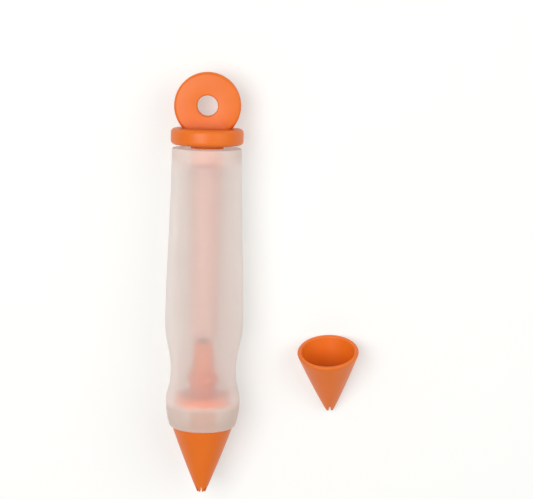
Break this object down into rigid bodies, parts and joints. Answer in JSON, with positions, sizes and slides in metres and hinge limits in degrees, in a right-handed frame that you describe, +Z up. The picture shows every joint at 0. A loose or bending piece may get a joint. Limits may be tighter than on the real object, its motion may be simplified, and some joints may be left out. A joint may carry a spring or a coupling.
{
  "type": "icing pen",
  "caption": "Soft silicone squeeze pen for icing, with a pull-out tabbed cap and stopper stem, a push-on pointed nozzle and a spare nozzle lying beside it.",
  "frame": {"origin": "on the table, under the middle of the whole set's box", "axes": "+Z up; the pen lies along Y with its cap towards +Y and its nozzle towards -Y; the spare nozzle lies on the +X side"},
  "size_m": [0.0746, 0.1618, 0.0297],
  "materials": {
    "clear_silicone": "moulded milky translucent silicone rubber, satin, with the orange pieces inside showing as soft pink shapes",
    "orange_polypropylene": "moulded opaque orange polypropylene, satin",
    "thin_orange_polypropylene": "the same polypropylene as a thin translucent tube, much paler than the solid pieces"
  },
  "bodies": {
    "pen_body": {"squeeze_body": "clear_silicone", "nozzle_holder": "orange_polypropylene"},
    "cap": {"end_cap": "orange_polypropylene", "stopper_stem": "thin_orange_polypropylene"},
    "front_nozzle": {"fitted_nozzle": "orange_polypropylene"},
    "loose_nozzle": {"spare_nozzle": "orange_polypropylene"}
  },
  "joints": [
    {"name": "cap_pull", "type": "slide", "parent": "pen_body", "child": "cap", "axis": [0, 0.9999, -0.0163], "range_m": [-0.00105, 0.085]},
    {"name": "nozzle_pull", "type": "slide", "parent": "pen_body", "child": "front_nozzle", "axis": [0, -0.9999, 0.0163], "range_m": [0, 0.03]},
    {"name": "spare_lift", "type": "slide", "parent": "pen_body", "child": "loose_nozzle", "axis": [0, 0, 1], "range_m": [0, 0.05]}
  ]
}
